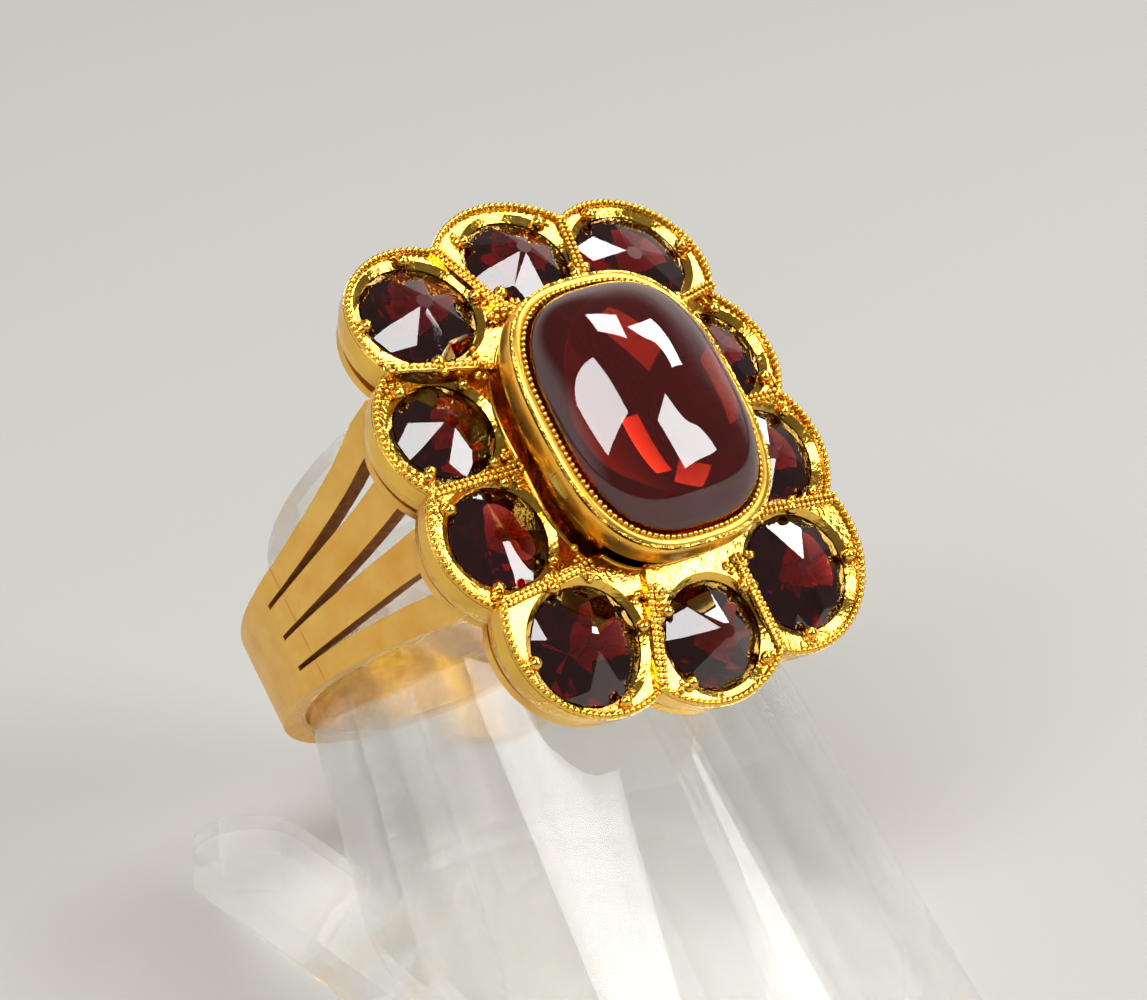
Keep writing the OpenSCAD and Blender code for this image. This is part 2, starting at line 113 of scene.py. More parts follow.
def gold_material(name, satin, polish_low, polish_high, pits):
    """Yellow gold: polished where satin is 0; where it is 1, shoulders and shank have a fine drawn grain."""
    made, tree, output = material(name)
    point = ring_space(tree)
    parts = add(tree, "ShaderNodeSeparateXYZ", {"Vector": point})

    # The finger keeps the inside of the hoop polished, and it takes none of the satin, the brown or the
    # painted shade
    bore = add(tree, "ShaderNodeVectorMath", {0: point, 1: (0, 0, BORE_DROP)}, operation="ADD")
    bore = add(tree, "ShaderNodeVectorMath", {
        0: bore.outputs["Vector"], 1: (1, 0, 1)}, operation="MULTIPLY")
    bore = add(tree, "ShaderNodeVectorMath", {0: bore.outputs["Vector"]}, operation="LENGTH")
    off_bore = add(tree, "ShaderNodeMapRange", {
        "Value": bore.outputs["Value"], "From Min": BORE_R + 0.05, "From Max": BORE_R + 0.3})

    # Satin starts just under the rim on the shoulders, and lower under the head's ends
    out = add(tree, "ShaderNodeMath", {0: parts.outputs["X"]}, operation="ABSOLUTE")
    lift = add(tree, "ShaderNodeMath", {
        0: out.outputs["Value"], 1: -SATIN_SLOPE, 2: SATIN_DROP}, operation="MULTIPLY_ADD")
    lift = add(tree, "ShaderNodeMath", {0: lift.outputs["Value"], 1: 0.0}, operation="MAXIMUM")
    depth = add(tree, "ShaderNodeMath", {0: parts.outputs["Z"], 1: lift.outputs["Value"]}, operation="ADD")
    mask = add(tree, "ShaderNodeMapRange", {
        "Value": depth.outputs["Value"], "From Min": SATIN_EDGE, "From Max": SATIN_FULL,
        "To Min": 0.0, "To Max": satin})
    mask = add(tree, "ShaderNodeMath", {
        0: mask.outputs["Result"], 1: off_bore.outputs["Result"]}, operation="MULTIPLY").outputs["Value"]

    # The walls of the slots between the tines are browned, partly an old film and partly painted shade
    # in the narrow slots. They are the faces that look along the finger, inside the spread of the fan.
    side = add(tree, "ShaderNodeNewGeometry")
    side = add(tree, "ShaderNodeVectorRotate", {
        "Vector": side.outputs["Normal"], "Angle": -RING_TILT}, rotation_type="X_AXIS")
    side = add(tree, "ShaderNodeSeparateXYZ", {"Vector": side.outputs["Vector"]})
    side = add(tree, "ShaderNodeMath", {0: side.outputs["Y"]}, operation="ABSOLUTE")
    side = add(tree, "ShaderNodeMapRange", {
        "Value": side.outputs["Value"], "From Min": 0.6, "From Max": 0.85,
        "To Min": 0.0, "To Max": SLOT_FILM_AND_SHADE})
    fan = add(tree, "ShaderNodeMapRange", {
        "Value": parts.outputs["Z"], "From Min": -BORE_DROP, "From Max": FAN_TOP,
        "To Min": FAN_LOW, "To Max": FAN_HIGH})
    middle = add(tree, "ShaderNodeMath", {0: parts.outputs["Y"], 1: SHANK_SHIFT}, operation="SUBTRACT")
    middle = add(tree, "ShaderNodeMath", {0: middle.outputs["Value"]}, operation="ABSOLUTE")
    inner = add(tree, "ShaderNodeMath", {
        0: middle.outputs["Value"], 1: fan.outputs["Result"]}, operation="LESS_THAN")
    slot = add(tree, "ShaderNodeMath", {
        0: side.outputs["Result"], 1: inner.outputs["Value"]}, operation="MULTIPLY")
    slot = add(tree, "ShaderNodeMath", {0: slot.outputs["Value"], 1: mask}, operation="MULTIPLY")

    # Painted shade in the other hollows: where ambient occlusion finds a hollow, the gold is darkened to a
    # brown tone
    shade = add(tree, "ShaderNodeAmbientOcclusion", {"Distance": 0.8 * MM}, samples=1)
    shade_and_film = add(tree, "ShaderNodeMapRange", {
        "Value": shade.outputs["AO"], "From Min": 0.12, "From Max": 0.6,
        "To Min": HOLLOW_SHADE, "To Max": 0.0}).outputs["Result"]
    shade_and_film = add(tree, "ShaderNodeMath", {
        0: shade_and_film, 1: slot.outputs["Value"]}, operation="MAXIMUM").outputs["Value"]
    shade_and_film = add(tree, "ShaderNodeMath", {
        0: shade_and_film, 1: off_bore.outputs["Result"]}, operation="MULTIPLY").outputs["Value"]

    # Painted shade inside the collet, under the centre stone: the gold there is darkened to a dull
    # orange-brown
    across = add(tree, "ShaderNodeVectorMath", {
        0: point, 1: (1 / HOLLOW_A, 1 / HOLLOW_B, 0)}, operation="MULTIPLY")
    across = add(tree, "ShaderNodeVectorMath", {0: across.outputs["Vector"]}, operation="LENGTH")
    reach = add(tree, "ShaderNodeMapRange", {
        "Value": parts.outputs["Z"], "From Min": LEDGE_LOW, "From Max": LEDGE_TOP,
        "To Min": 1.0, "To Max": LEDGE_OPEN})
    within = add(tree, "ShaderNodeMath", {
        0: across.outputs["Value"], 1: reach.outputs["Result"]}, operation="LESS_THAN")
    under = add(tree, "ShaderNodeMath", {0: parts.outputs["Z"], 1: HOLLOW_TOP}, operation="LESS_THAN")
    above = add(tree, "ShaderNodeMath", {0: parts.outputs["Z"], 1: HOLLOW_LOW}, operation="GREATER_THAN")
    height = add(tree, "ShaderNodeMath", {
        0: under.outputs["Value"], 1: above.outputs["Value"]}, operation="MULTIPLY")
    collet_shade = add(tree, "ShaderNodeMath", {
        0: within.outputs["Value"], 1: height.outputs["Value"]}, operation="MULTIPLY").outputs["Value"]

    # Broad clouds of tone, about 2 mm across
    clouds = add(tree, "ShaderNodeTexNoise", {
        "Vector": point, "Scale": 0.55, "Detail": 2.0, "Roughness": 0.6})
    mottle = add(tree, "ShaderNodeMapRange", {
        "Value": clouds.outputs["Fac"], "From Min": 0.2, "From Max": 0.8})
    tone = add(tree, "ShaderNodeMix", {
        "Factor": mottle.outputs["Result"], "A": linear("#F5BE45"), "B": linear("#FCCF60")}, data_type="RGBA")
    brushed = add(tree, "ShaderNodeMix", {
        "Factor": mottle.outputs["Result"], "A": linear("#F0B04A"), "B": linear("#FDD272")}, data_type="RGBA")
    satin_tone = add(tree, "ShaderNodeMix", {
        "Factor": mask, "A": tone.outputs["Result"], "B": brushed.outputs["Result"]}, data_type="RGBA")

    # Grain of the satin: drawn along the shank, about 0.05 mm apart
    drawn = add(tree, "ShaderNodeMapping", {"Vector": point, "Scale": (1.0, 9.0, 1.0)})
    grain = add(tree, "ShaderNodeTexNoise", {
        "Vector": drawn.outputs["Vector"], "Scale": 2.2, "Detail": 4.0, "Roughness": 0.7})
    polish = add(tree, "ShaderNodeTexNoise", {
        "Vector": point, "Scale": 2.4, "Detail": 3.0, "Roughness": 0.6})

    # The brown is mottled along the grain. As painted shade it darkens the hollows; on the slots' walls it is
    # also a rough film that hides part of the metal
    brown_mottle = add(tree, "ShaderNodeMapRange", {
        "Value": grain.outputs["Fac"], "From Min": 0.35, "From Max": 0.65})
    brown = add(tree, "ShaderNodeMix", {
        "Factor": brown_mottle.outputs["Result"], "A": linear("#74360F"), "B": linear("#B0702E")}, data_type="RGBA")
    # The painted shade and the slots' brown go over the gold's tone
    tone_with_shade_and_film = add(tree, "ShaderNodeMix", {
        "Factor": shade_and_film, "A": satin_tone.outputs["Result"], "B": brown.outputs["Result"]}, data_type="RGBA")
    # Painted shade darkens the gold inside the collet
    base_with_shade_and_film = add(tree, "ShaderNodeMix", {
        "Factor": collet_shade, "A": tone_with_shade_and_film.outputs["Result"], "B": linear("#C88040")}, data_type="RGBA")
    bare = add(tree, "ShaderNodeMapRange", {
        "Value": slot.outputs["Value"], "To Min": 1.0, "To Max": 0.3})

    smooth_rough = add(tree, "ShaderNodeMapRange", {
        "Value": polish.outputs["Fac"], "From Min": 0.3, "From Max": 0.7,
        "To Min": polish_low, "To Max": polish_high})
    satin_rough = add(tree, "ShaderNodeMapRange", {
        "Value": grain.outputs["Fac"], "From Min": 0.3, "From Max": 0.7, "To Min": 0.3, "To Max": 0.44})
    rough = add(tree, "ShaderNodeMix", {
        "Factor": mask, "A": smooth_rough.outputs["Result"], "B": satin_rough.outputs["Result"]})
    crusty = add(tree, "ShaderNodeMath", {0: slot.outputs["Value"], 1: 0.8}, operation="MULTIPLY")
    rough = add(tree, "ShaderNodeMath", {
        0: rough.outputs["Result"], 1: crusty.outputs["Value"]}, operation="MAXIMUM")
    hand = add(tree, "ShaderNodeBump", {
        "Height": polish.outputs["Fac"], "Strength": pits, "Distance": 0.09 * MM})
    lines = add(tree, "ShaderNodeBump", {
        "Height": grain.outputs["Fac"], "Strength": mask, "Distance": 0.012 * MM,
        "Normal": hand.outputs["Normal"]})
    metal = add(tree, "ShaderNodeBsdfPrincipled", {
        "Base Color": base_with_shade_and_film.outputs["Result"], "Metallic": bare.outputs["Result"],
        "Roughness": rough.outputs["Value"], "Normal": lines.outputs["Normal"]})
    tree.links.new(metal.outputs["BSDF"], output.inputs["Surface"])
    return made


cast_gold = gold_material("yellow_gold_14ct_polished_and_satin", 1.0, 0.1, 0.22, 0.55)
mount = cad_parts["gold_mount"]
mount.data.materials.clear()
mount.data.materials.append(cast_gold)


# The scalloped rim: each lobe leans with its stone. The setter has raised a
# bright lip along its outer edge and rolled a line of millegrain on that lip.

CORNER_LEAN = 12.5
REAR_SHARE = 0.84
SIDE_LEAN = 2.0
# The ten cells. Columns: x, y, stone radius, reach of the lobe, its direction in
# degrees, radius of its arc, offset of the stone in x and in y
CELLS = [(5.13, 7.2, 2.32, 2.98, 52, 3.5, 0, 0), (0, 8.5, 2.13, 2.74, 90, 4.1, 0.15, -0.2),
         (-5.13, 7.2, 2.32, 2.98, 128, 3.5, 0, 0), (-6.5, 2.34, 2.04, 2.92, 172, 3.6, 0, 0),
         (-6.5, -2.34, 2.04, 2.92, 188, 3.6, 0, 0), (-5.13, -7.2, 2.32, 2.98, 232, 3.9, -0.05, -0.2),
         (0, -8.5, 2.13, 2.74, 270, 4.1, 0.22, -0.05), (5.13, -7.2, 2.32, 2.98, 308, 3.9, 0, 0),
         (6.5, -2.34, 2.04, 2.74, 352, 3.6, 0, 0), (6.5, 2.34, 2.04, 2.74, 8, 3.6, 0, 0)]
COUNT = len(CELLS)
RIM_RISE = 0.2
BEAD_PITCH = 0.265
BEAD_R = 0.14
LIP_H = 0.12
LIP_BACK = 0.15
# The lip's outline: out from its middle line, and up from the rim
LIP_PROFILE = [(LIP_BACK - 0.01, -0.03), (LIP_BACK - 0.02, 0.05), (0.07, LIP_H), (-0.04, LIP_H),
               (-0.11, 0.45 * LIP_H), (-0.15, -0.03)]
# A lobe's arc in degrees to each side of its middle, and the step along it
ARC_HALF, ARC_STEP = 75, 0.5
rng = np.random.default_rng(11)

mill_gold = gold_material("yellow_gold_14ct_millegrain", 0.0, 0.1, 0.2, 0.08)


def new_piece(name, points, faces, finish, slot):
    """A mesh from points in the ring's frame, in mm, fixed to the part."""
    mesh = bpy.data.meshes.new(name)
    mesh.from_pydata([tuple(RING @ Vector(p)) for p in points], [], [tuple(f) for f in faces])
    mesh.validate()
    mesh.update()
    mesh.polygons.foreach_set("use_smooth", [True] * len(mesh.polygons))
    mesh.materials.append(finish)
    made = bpy.data.objects.new(name, mesh)
    bpy.context.scene.collection.objects.link(made)
    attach(made, "root")
    return made


def unit_ball(level):
    """Points and triangles of a ball of radius 1."""
    bm = bmesh.new()
    bmesh.ops.create_icosphere(bm, subdivisions=level, radius=1)
    points = np.array([v.co for v in bm.verts])
    faces = np.array([[v.index for v in f.verts] for f in bm.faces])
    bm.free()
    return points, faces


BALL, BALL_FACES = unit_ball(2)


def grains(centres, radius, spread=0.07):
    """Points and faces of a row of balls, each a little off the next as a rolled line is."""
    points, faces = [], []
    for k, centre in enumerate(centres):
        size = radius * (1 + spread * rng.uniform(-1, 1, 3))
        points.append(BALL * size + np.array(centre) + radius * 0.04 * rng.uniform(-1, 1, 3))
        faces.append(BALL_FACES + k * len(BALL))
    return np.vstack(points), np.vstack(faces)


def strip(rows):
    """Points and faces of a closed skin over equal rows of points, with its ends capped."""
    count, wide = len(rows), len(rows[0])
    points = np.concatenate(rows)
    faces = [(r * wide + k, r * wide + (k + 1) % wide, (r + 1) * wide + (k + 1) % wide, (r + 1) * wide + k)
             for r in range(count - 1) for k in range(wide)]
    faces += [tuple(range(wide))[::-1], tuple((count - 1) * wide + k for k in range(wide))]
    return points, faces


def join(parts):
    """One set of points and faces from several."""
    points, faces, base = [], [], 0
    for some_points, some_faces in parts:
        points.append(np.asarray(some_points))
        faces += [tuple(int(k) + base for k in face) for face in some_faces]
        base += len(some_points)
    return np.vstack(points), faces


def cell_frame(i):
    """From a cell's leaned frame to the ring's frame, both in mm."""
    x, y = CELLS[i][:2]
    lean = CORNER_LEAN * y / 7.2 * (REAR_SHARE if y > 0 else 1)
    return (Matrix.Translation((x, y, 0))
            @ Matrix.Rotation(math.radians(SIDE_LEAN) * float(np.sign(x)), 4, "Y")
            @ Matrix.Rotation(math.radians(-lean), 4, "X"))


FRAMES = [cell_frame(i) for i in range(COUNT)]


def stone_at(c):
    """Middle of a cell's stone."""
    return np.array([c[0] + c[6], c[1] + c[7]])


def lobe_at(c):
    """Centre of the arc of a cell's lobe."""
    turn = math.radians(c[4])
    return np.array(c[:2]) - (c[5] - c[3]) * np.array([math.cos(turn), math.sin(turn)])


def wall_between(c, d):
    """The middle of the wall between two cells, its outward direction and its reach out to the notch."""
    near, far = lobe_at(c), lobe_at(d)
    gap = np.linalg.norm(far - near)
    u = (far - near) / gap
    a = (c[5] ** 2 - d[5] ** 2 + gap ** 2) / (2 * gap)
    notch = near + a * u + math.sqrt(c[5] ** 2 - a * a) * np.array([u[1], -u[0]])
    across = stone_at(d) - stone_at(c)
    gap = np.linalg.norm(across)
    middle = stone_at(c) + across * (c[2] + (gap - c[2] - d[2]) / 2) / gap
    reach = np.linalg.norm(notch - middle)
    return middle, (notch - middle) / reach, reach


WALLS = [wall_between(CELLS[i], CELLS[(i + 1) % COUNT]) for i in range(COUNT)]


def in_cell(i, p):
    """True where the ring-frame point p lies between the two walls of cell i."""
    for wall, sign in ((WALLS[i - 1], 1), (WALLS[i], -1)):
        middle, out, _ = wall
        if sign * ((p[0] - middle[0]) * out[1] - (p[1] - middle[1]) * out[0]) > 0:
            return False
    return True


def rim_path(i, inset, z):
    """Points of lobe i's edge in its cell's frame, drawn in by inset, each with its outward direction."""
    c = CELLS[i]
    turn, back = math.radians(c[4]), c[5] - c[3]
    found = []
    for angle in np.radians(np.arange(-ARC_HALF, ARC_HALF + 0.1, ARC_STEP)) + turn:
        out = np.array([math.cos(angle), math.sin(angle)])
        at = (c[5] - inset) * out - back * np.array([math.cos(turn), math.sin(turn)])
        if in_cell(i, FRAMES[i] @ Vector((*at, z))):
            found.append((at, out))
    return found


def spaced(points, pitch):
    """Points at an even pitch along an open line."""
    points = np.array(points)
    run = np.concatenate([[0], np.cumsum(np.linalg.norm(np.diff(points, axis=0), axis=1))])
    at = np.linspace(0, run[-1], max(2, round(run[-1] / pitch) + 1))
    return np.stack([np.interp(at, run, points[:, k]) for k in range(points.shape[1])], 1)


lip_parts, bead_centres = [], []
for i in range(COUNT):
    path = rim_path(i, LIP_BACK, RIM_RISE)
    rows = [[FRAMES[i] @ Vector((*(at + out * r), RIM_RISE + z)) for r, z in LIP_PROFILE]
            for at, out in path]
    lip_parts.append(strip(rows))
    line = [FRAMES[i] @ Vector((*at, RIM_RISE + LIP_H)) for at, _ in path]
    bead_centres += list(spaced(line, BEAD_PITCH))

new_piece("rim_lip", *join(lip_parts), mill_gold, "gold")
new_piece("rim_millegrain", *grains(bead_centres, BEAD_R), mill_gold, "gold")


# The dividers between the cells: narrow gold walls whose tops carry one or two
# rolled lines of grains, from the rim's notch in to the trench round the collet.

SQUARENESS = 2.75


def oval(a, b, steps):
    """Points of the squared oval that the centre stone and its collet share."""
    turn = 2 * np.pi * (np.arange(steps) + 0.5) / steps
    c, s = np.cos(turn), np.sin(turn)
    return np.stack([a * np.sign(c) * np.abs(c) ** (2 / SQUARENESS),
                     b * np.sign(s) * np.abs(s) ** (2 / SQUARENESS)], 1)


def inside_oval(p, a, b):
    """True where the point p lies inside the squared oval."""
    return (abs(p[0]) / a) ** SQUARENESS + (abs(p[1]) / b) ** SQUARENESS < 1


TRENCH_A, TRENCH_B = 4.28, 5.53
DIVIDER_TOP = RIM_RISE + 0.06
# A divider stops this far short of the trench and of the rim's notch
TRENCH_GAP, NOTCH_GAP = 0.06, 0.12
# The ridge's outline: across the wall, and up from its top
RIDGE_PROFILE = [(-0.215, -0.03), (-0.19, 0.04), (-0.11, 0.08), (0, 0.03),
                 (0.11, 0.08), (0.19, 0.04), (0.215, -0.03)]
DIVIDER_BEAD_R = 0.112
DIVIDER_BEAD_LIFT = 0.07
# Wall 2 carries one wide-set line of grains, the others two that lie side by side
SINGLE_WALL = 2
SINGLE_PITCH, DOUBLE_PITCH = 0.3, 0.235
ridge_parts, divider_beads, DIVIDER_FEET = [], [], []
for i in range(COUNT):
    j = (i + 1) % COUNT
    # The wall leans with the cell farther along the finger
    k = i if abs(CELLS[i][1]) > abs(CELLS[j][1]) else j
    middle, out, reach = WALLS[i]
    across = np.array([-out[1], out[0]])
    start = middle - np.array(CELLS[k][:2])
    steps = [t for t in np.arange(-2, reach - NOTCH_GAP, 0.02)
             if not inside_oval(FRAMES[k] @ Vector((*(start + t * out), DIVIDER_TOP)),
                                TRENCH_A + TRENCH_GAP, TRENCH_B + TRENCH_GAP)]
    DIVIDER_FEET.append((k, start + steps[0] * out, out, across))
    rows = []
    for t in np.linspace(steps[0], steps[-1], 12):
        at = start + t * out
        rows.append([FRAMES[k] @ Vector((*(at + across * u), DIVIDER_TOP + z)) for u, z in RIDGE_PROFILE])
    ridge_parts.append(strip(rows))
    single = i == SINGLE_WALL
    for side in ([0.0] if single else [-DIVIDER_BEAD_R, DIVIDER_BEAD_R]):
        line = [FRAMES[k] @ Vector((*(start + t * out + across * side), DIVIDER_TOP + DIVIDER_BEAD_LIFT))
                for t in (steps[0], steps[-1])]
        divider_beads += list(spaced(line, SINGLE_PITCH if single else DOUBLE_PITCH))

new_piece("divider_ridges", *join(ridge_parts), mill_gold, "gold")
new_piece("divider_millegrain", *grains(divider_beads, DIVIDER_BEAD_R), mill_gold, "gold")


# The cells' inner edges and the prongs: a thin lip burnished bright where each
# cell meets the trench, the round heads pressed over the stones, and the burrs
# that the graver raised at the foot of the prongs and of the dividers.

def cell_height(i, x, y):
    """Height in the ring's frame of cell i's flat top over the point x, y."""
    up = FRAMES[i].to_3x3() @ Vector((0, 0, 1))
    return (RIM_RISE - up.x * (x - CELLS[i][0]) - up.y * (y - CELLS[i][1])) / up.z


TRENCH_LIP_OUT = 0.08
EDGE_STEPS, EDGE_SKIP = 1440, 4
# The trench lip's outline: out from its middle line, and up from the cell's flat top
TRENCH_LIP_PROFILE = [(-0.075, -0.06), (-0.075, 0.05), (-0.03, 0.1),
                      (0.03, 0.1), (0.07, 0.04), (0.07, -0.06)]
inner_parts = []
edge = oval(TRENCH_A + TRENCH_LIP_OUT, TRENCH_B + TRENCH_LIP_OUT, EDGE_STEPS)
for i in range(COUNT):
    mine = [k for k in range(len(edge)) if in_cell(i, edge[k]) and edge[k] @ np.array(CELLS[i][:2]) > 0]
    # Where a cell's share of the edge runs past the loop's start, its two parts change places
    gap = next((n for n in range(1, len(mine)) if mine[n] - mine[n - 1] > 1), 0)
    mine = mine[gap:] + mine[:gap]
    rows = []
    for k in mine[::EDGE_SKIP]:
        x, y = edge[k]
        out = edge[k] - edge[(k + 1) % len(edge)]
        out = np.array([-out[1], out[0]]) / np.linalg.norm(out)
        z = cell_height(i, x, y)
        rows.append([(x + out[0] * r, y + out[1] * r, z + h) for r, h in TRENCH_LIP_PROFILE])
    inner_parts.append(strip(rows))
new_piece("trench_lip", *join(inner_parts), mill_gold, "gold")


def on_cell(i, spot, z):
    """The ring-frame point over a spot given from cell i's centre."""
    return tuple(FRAMES[i] @ Vector((spot[0], spot[1], z)))


PRONG_TURNS = (52, 128, -128, -52)
PRONG_HEAD = 0.27
PRONG_OUT, PRONG_LIFT = 0.17, 0.12
BURR_R = 0.14
BURRS_A_PRONG, BURRS_A_DIVIDER = 4, 16
heads, burrs = [], []
for i, c in enumerate(CELLS):
    for prong in PRONG_TURNS:
        turn = math.radians(c[4] + prong)
        out, along = np.array([math.cos(turn), math.sin(turn)]), np.array([-math.sin(turn), math.cos(turn)])
        heads.append(on_cell(i, np.array(c[6:8]) + (c[2] + PRONG_OUT) * out, RIM_RISE + PRONG_LIFT))
        for _ in range(BURRS_A_PRONG):
            spot = (np.array(c[6:8]) + (c[2] + rng.uniform(0.36, 0.68)) * out
                    + rng.uniform(-0.36, 0.36) * along)
            burrs.append(on_cell(i, spot, RIM_RISE - 0.02 + 0.05 * rng.uniform()))
for k, foot, out, across in DIVIDER_FEET:
    for _ in range(BURRS_A_DIVIDER):
        side = rng.uniform(-0.8, 0.8)
        spot = foot + (rng.uniform(0.02, 0.5) + 0.12 * abs(side)) * out + side * across
        at = spot + np.array(CELLS[k][:2])
        if all(np.linalg.norm(at - stone_at(c)) > c[2] + 0.12 for c in CELLS):
            burrs.append(on_cell(k, spot, RIM_RISE + 0.04 * rng.uniform()))
new_piece("prong_heads", *grains(heads, PRONG_HEAD, spread=0.1), mill_gold, "gold")
new_piece("setting_burrs", *grains(burrs, BURR_R, spread=0.4), mill_gold, "gold")


# The collet round the centre stone: a smooth band, bevelled over its top edge,
# and one line of grains pressed down against the stone.

COLLET_A, COLLET_B, COLLET_TOP = 4.65, 5.9, 3.1
BAND_STEPS, LINE_STEPS = 288, 720
# The line of grains: inside the collet's edge, over its top, its pitch and the grains' radius
GRAIN_IN, GRAIN_LIFT = 0.45, 0.04
GRAIN_PITCH, GRAIN_R = 0.25, 0.12
band_gold = gold_material("yellow_gold_14ct_burnished_band", 0.0, 0.26, 0.36, 0.0)
# The band's outline: out from the collet's edge, and up from its top
band_profile = [(-0.03, -1.14), (0.01, -1.15), (0.045, -1.1), (0.07, -0.85), (0.065, -0.5),
                (0.045, -0.3), (0.0, -0.14), (-0.1, 0.0), (-0.22, 0.06),
                (-0.34, 0.06), (-0.38, 0.0), (-0.38, -0.05)]
rows = [np.column_stack([oval(COLLET_A + r, COLLET_B + r, BAND_STEPS), np.full(BAND_STEPS, COLLET_TOP + z)])
        for r, z in band_profile]
band_points = np.vstack(rows)
band_faces = []
for k in range(len(rows)):
    this, after = k * BAND_STEPS, (k + 1) % len(rows) * BAND_STEPS
    for n in range(BAND_STEPS):
        on = (n + 1) % BAND_STEPS
        band_faces.append((this + n, after + n, after + on, this + on))
new_piece("collet_band", band_points, band_faces, band_gold, "gold")


def even_points(loop, pitch):
    """Points at an even pitch round a closed loop."""
    closed = np.vstack([loop, loop[:1]])
    return spaced(closed, pitch)[:-1]


grain_line = oval(COLLET_A - GRAIN_IN, COLLET_B - GRAIN_IN, LINE_STEPS)
grain_row = [(*p, COLLET_TOP + GRAIN_LIFT) for p in even_points(grain_line, GRAIN_PITCH)]
new_piece("collet_millegrain", *grains(grain_row, GRAIN_R), mill_gold, "gold")


# The ten cut garnets: dark red pyrope, cut by hand with a low crown and a very
# small table, so that single facets flash white and the rest stay near black.

TABLE_TILT = 0.32
# How far a table's normal leans along the finger, at the two ends of the head
HEAD_END = 8.5
LEAN_NEAR, LEAN_FAR = -0.245, 0.225
WORN_ROUGHNESS = 0.04


def garnet_material(name, tint, density, silk, askew=0.0):
    """Garnet: clear crystal that takes up light with depth. Fine needles scatter the share silk of it."""
    made, tree, output = material(name)
    point = ring_space(tree)

    # The photo shows no table apart from the facets, so the shading of each tiny
    # table leans 18 degrees to +X: a guess, as if hand polish had left it uneven.
    # A table faces as its stone leans, which follows from its place along the finger.
    parts = add(tree, "ShaderNodeSeparateXYZ", {"Vector": point})
    lean = add(tree, "ShaderNodeMapRange", {
        "Value": parts.outputs["Y"], "From Min": -HEAD_END, "From Max": HEAD_END,
        "To Min": LEAN_NEAR, "To Max": LEAN_FAR})
    ground = add(tree, "ShaderNodeNewGeometry").outputs["Normal"]
    face = add(tree, "ShaderNodeVectorRotate", {
        "Vector": ground, "Angle": -RING_TILT}, rotation_type="X_AXIS")
    face = add(tree, "ShaderNodeSeparateXYZ", {"Vector": face.outputs["Vector"]})
    off = add(tree, "ShaderNodeMath", {
        0: face.outputs["Y"], 1: lean.outputs["Result"]}, operation="SUBTRACT")
    off = add(tree, "ShaderNodeCombineXYZ", {"X": face.outputs["X"], "Y": off.outputs["Value"]})
    off = add(tree, "ShaderNodeVectorMath", {0: off.outputs["Vector"]}, operation="LENGTH")
    table = add(tree, "ShaderNodeMapRange", {
        "Value": off.outputs["Value"], "From Min": 0.14, "From Max": 0.1, "To Min": 0.0, "To Max": askew})
    tip = add(tree, "ShaderNodeCombineXYZ", {"X": table.outputs["Result"]})
    tip = add(tree, "ShaderNodeVectorMath", {0: ground, 1: tip.outputs["Vector"]}, operation="ADD")
    tip = add(tree, "ShaderNodeVectorMath", {0: tip.outputs["Vector"]}, operation="NORMALIZE")

    # Handling has dulled the polish in patches
    cloud = add(tree, "ShaderNodeTexNoise", {
        "Vector": point, "Scale": 1.1, "Detail": 3.0, "Roughness": 0.65})
    wear = add(tree, "ShaderNodeMapRange", {
        "Value": cloud.outputs["Fac"], "From Min": 0.45, "From Max": 0.75,
        "To Min": 0.0, "To Max": WORN_ROUGHNESS})
    body = add(tree, "ShaderNodeBsdfPrincipled", {
        "Base Color": linear("#FFF2F0"), "Roughness": wear.outputs["Result"], "IOR": 1.76,
        "Transmission Weight": 1.0, "Normal": tip.outputs["Vector"]})
    depth = add(tree, "ShaderNodeVolumeAbsorption", {"Color": linear(tint), "Density": density})
    needles = add(tree, "ShaderNodeBsdfDiffuse", {"Color": linear("#CC1012")})
    crystal = add(tree, "ShaderNodeMixShader", {
        "Fac": silk, 1: body.outputs["BSDF"], 2: needles.outputs["BSDF"]})
    tree.links.new(crystal.outputs["Shader"], output.inputs["Surface"])
    tree.links.new(depth.outputs["Volume"], output.inputs["Volume"])
    return made


small_garnet = garnet_material("pyrope_garnet_cut", "#E03A26", 3400.0, 0.012, TABLE_TILT)
for number in range(1, 11):
    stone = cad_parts[f"garnet_{number:02d}"]
    stone.data.materials.clear()
    stone.data.materials.append(small_garnet)


# The centre stone: a cushion cabochon of garnet, polished to a high dome over a
# flat polished back, held by the collet's inner edge. The lamps behind the ring
# mirror in the flat back, which gives the stone its two red glows.

DOME_A, DOME_B = 4.06, 5.31
SEAT_Z, EDGE_Z, TOP_Z = 2.24, 2.95, 5.6
RINGS, ROUND = 40, 144

rows = [np.column_stack([oval(DOME_A, DOME_B, ROUND), np.full(ROUND, SEAT_Z)])]
for k in range(RINGS):
    u = 0.5 * math.pi * k / RINGS
    rows.append(np.column_stack([oval(DOME_A * math.cos(u), DOME_B * math.cos(u), ROUND),
                                 np.full(ROUND, EDGE_Z + (TOP_Z - EDGE_Z) * math.sin(u))]))
dome_points = np.vstack(rows + [[(0, 0, TOP_Z)]])
top = len(dome_points) - 1
dome_faces = [(k * ROUND + i, k * ROUND + (i + 1) % ROUND,
               (k + 1) * ROUND + (i + 1) % ROUND, (k + 1) * ROUND + i)
              for k in range(RINGS) for i in range(ROUND)]
dome_faces += [(RINGS * ROUND + i, RINGS * ROUND + (i + 1) % ROUND, top) for i in range(ROUND)]
dome_faces += [tuple(range(ROUND))[::-1]]
cabochon_garnet = garnet_material("almandine_garnet_cabochon", "#E88F4C", 840.0, 0.045)
cabochon = new_piece("cabochon", dome_points, dome_faces, cabochon_garnet, "garnet")
cabochon.data.polygons[len(dome_faces) - 1].use_smooth = False
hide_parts("centre_garnet")


# The stand: cast clear acrylic, a hollow tapered tongue turned and flame
# polished, on a flat foot with one side leg.

